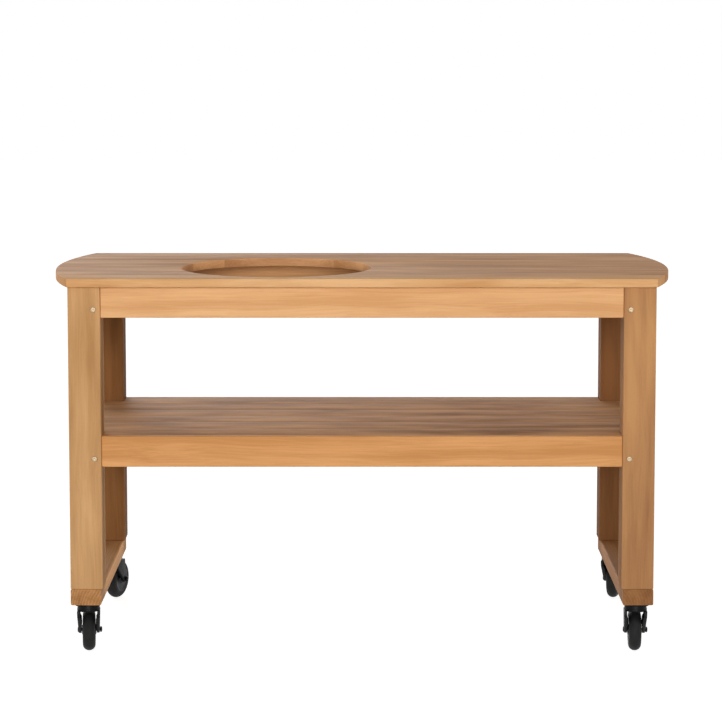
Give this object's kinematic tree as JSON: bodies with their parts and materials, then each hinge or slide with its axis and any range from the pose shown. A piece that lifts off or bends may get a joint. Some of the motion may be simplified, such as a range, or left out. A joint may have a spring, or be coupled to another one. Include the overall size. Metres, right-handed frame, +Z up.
{
  "type": "kamado grill table",
  "caption": "Slatted hardwood outdoor table on black swivel casters, with bowed ends, a lower shelf and a round opening in the top for a ceramic grill.",
  "frame": {"origin": "centre of the footprint, on the floor", "axes": "X runs along the table with the grill opening towards -X, -Y is the front, Z is up"},
  "size_m": [1.49, 0.6674, 0.9],
  "materials": {
    "oiled_hardwood": "planed and oiled golden brown hardwood, fine straight grain, satin",
    "stainless_steel": "plain stainless steel button heads",
    "black_steel": "pressed steel with a black zinc and lacquer finish, semi gloss",
    "black_rubber": "black moulded core with a bonded black rubber tread, matt"
  },
  "bodies": {
    "table_frame": {"top_board_1": "oiled_hardwood", "top_board_2_left": "oiled_hardwood", "top_board_2_right": "oiled_hardwood", "top_board_3_left": "oiled_hardwood", "top_board_3_right": "oiled_hardwood", "top_board_4_left": "oiled_hardwood", "top_board_4_right": "oiled_hardwood", "top_board_5_left": "oiled_hardwood", "top_board_5_right": "oiled_hardwood", "top_board_6": "oiled_hardwood", "top_board_7": "oiled_hardwood", "top_batten_1": "oiled_hardwood", "top_batten_2": "oiled_hardwood", "top_batten_3": "oiled_hardwood", "front_apron": "oiled_hardwood", "back_apron": "oiled_hardwood", "front_shelf_apron": "oiled_hardwood", "back_shelf_apron": "oiled_hardwood", "left_side_rail": "oiled_hardwood", "right_side_rail": "oiled_hardwood", "left_shelf_rail": "oiled_hardwood", "right_shelf_rail": "oiled_hardwood", "front_left_post": "oiled_hardwood", "front_right_post": "oiled_hardwood", "back_left_post": "oiled_hardwood", "back_right_post": "oiled_hardwood", "left_foot_rail": "oiled_hardwood", "right_foot_rail": "oiled_hardwood", "shelf_board_1": "oiled_hardwood", "shelf_board_2": "oiled_hardwood", "shelf_board_3": "oiled_hardwood", "shelf_board_4": "oiled_hardwood", "shelf_board_5": "oiled_hardwood", "shelf_board_6": "oiled_hardwood", "shelf_batten_1": "oiled_hardwood", "shelf_batten_2": "oiled_hardwood", "front_left_shelf_bolt": "stainless_steel", "front_left_top_bolt": "stainless_steel", "front_right_shelf_bolt": "stainless_steel", "front_right_top_bolt": "stainless_steel", "back_left_shelf_bolt": "stainless_steel", "back_left_top_bolt": "stainless_steel", "back_right_shelf_bolt": "stainless_steel", "back_right_top_bolt": "stainless_steel", "front_left_caster_plate": "black_steel", "front_right_caster_plate": "black_steel", "back_left_caster_plate": "black_steel", "back_right_caster_plate": "black_steel"},
    "front_left_swivel": {"front_left_fork": "black_steel", "front_left_axle": "black_steel"},
    "front_left_wheel": {"front_left_wheel": "black_rubber"},
    "front_right_swivel": {"front_right_fork": "black_steel", "front_right_axle": "black_steel"},
    "front_right_wheel": {"front_right_wheel": "black_rubber"},
    "back_left_swivel": {"back_left_fork": "black_steel", "back_left_axle": "black_steel"},
    "back_left_wheel": {"back_left_wheel": "black_rubber"},
    "back_right_swivel": {"back_right_fork": "black_steel", "back_right_axle": "black_steel"},
    "back_right_wheel": {"back_right_wheel": "black_rubber"}
  },
  "joints": [
    {"name": "front_left_swivel_turn", "type": "hinge", "parent": "table_frame", "child": "front_left_swivel", "pos_m": [-0.6495, -0.28319, 0.111], "axis": [0, 0, 1], "continuous": true},
    {"name": "front_left_wheel_spin", "type": "hinge", "parent": "front_left_swivel", "child": "front_left_wheel", "pos_m": [-0.65212, -0.2533, 0.04957], "axis": [0.9962, 0.0872, 0], "continuous": true},
    {"name": "front_right_swivel_turn", "type": "hinge", "parent": "table_frame", "child": "front_right_swivel", "pos_m": [0.6495, -0.28319, 0.111], "axis": [0, 0, 1], "continuous": true},
    {"name": "front_right_wheel_spin", "type": "hinge", "parent": "front_right_swivel", "child": "front_right_wheel", "pos_m": [0.65107, -0.25323, 0.04957], "axis": [0.9986, -0.0523, 0], "continuous": true},
    {"name": "back_left_swivel_turn", "type": "hinge", "parent": "table_frame", "child": "back_left_swivel", "pos_m": [-0.6495, 0.25582, 0.111], "axis": [0, 0, 1], "continuous": true},
    {"name": "back_left_wheel_spin", "type": "hinge", "parent": "back_left_swivel", "child": "back_left_wheel", "pos_m": [-0.63924, 0.28401, 0.04957], "axis": [0.9397, -0.342, 0], "continuous": true},
    {"name": "back_right_swivel_turn", "type": "hinge", "parent": "table_frame", "child": "back_right_swivel", "pos_m": [0.6495, 0.25582, 0.111], "axis": [0, 0, 1], "continuous": true},
    {"name": "back_right_wheel_spin", "type": "hinge", "parent": "back_right_swivel", "child": "back_right_wheel", "pos_m": [0.65625, 0.28505, 0.04957], "axis": [0.9744, -0.225, 0], "continuous": true}
  ]
}
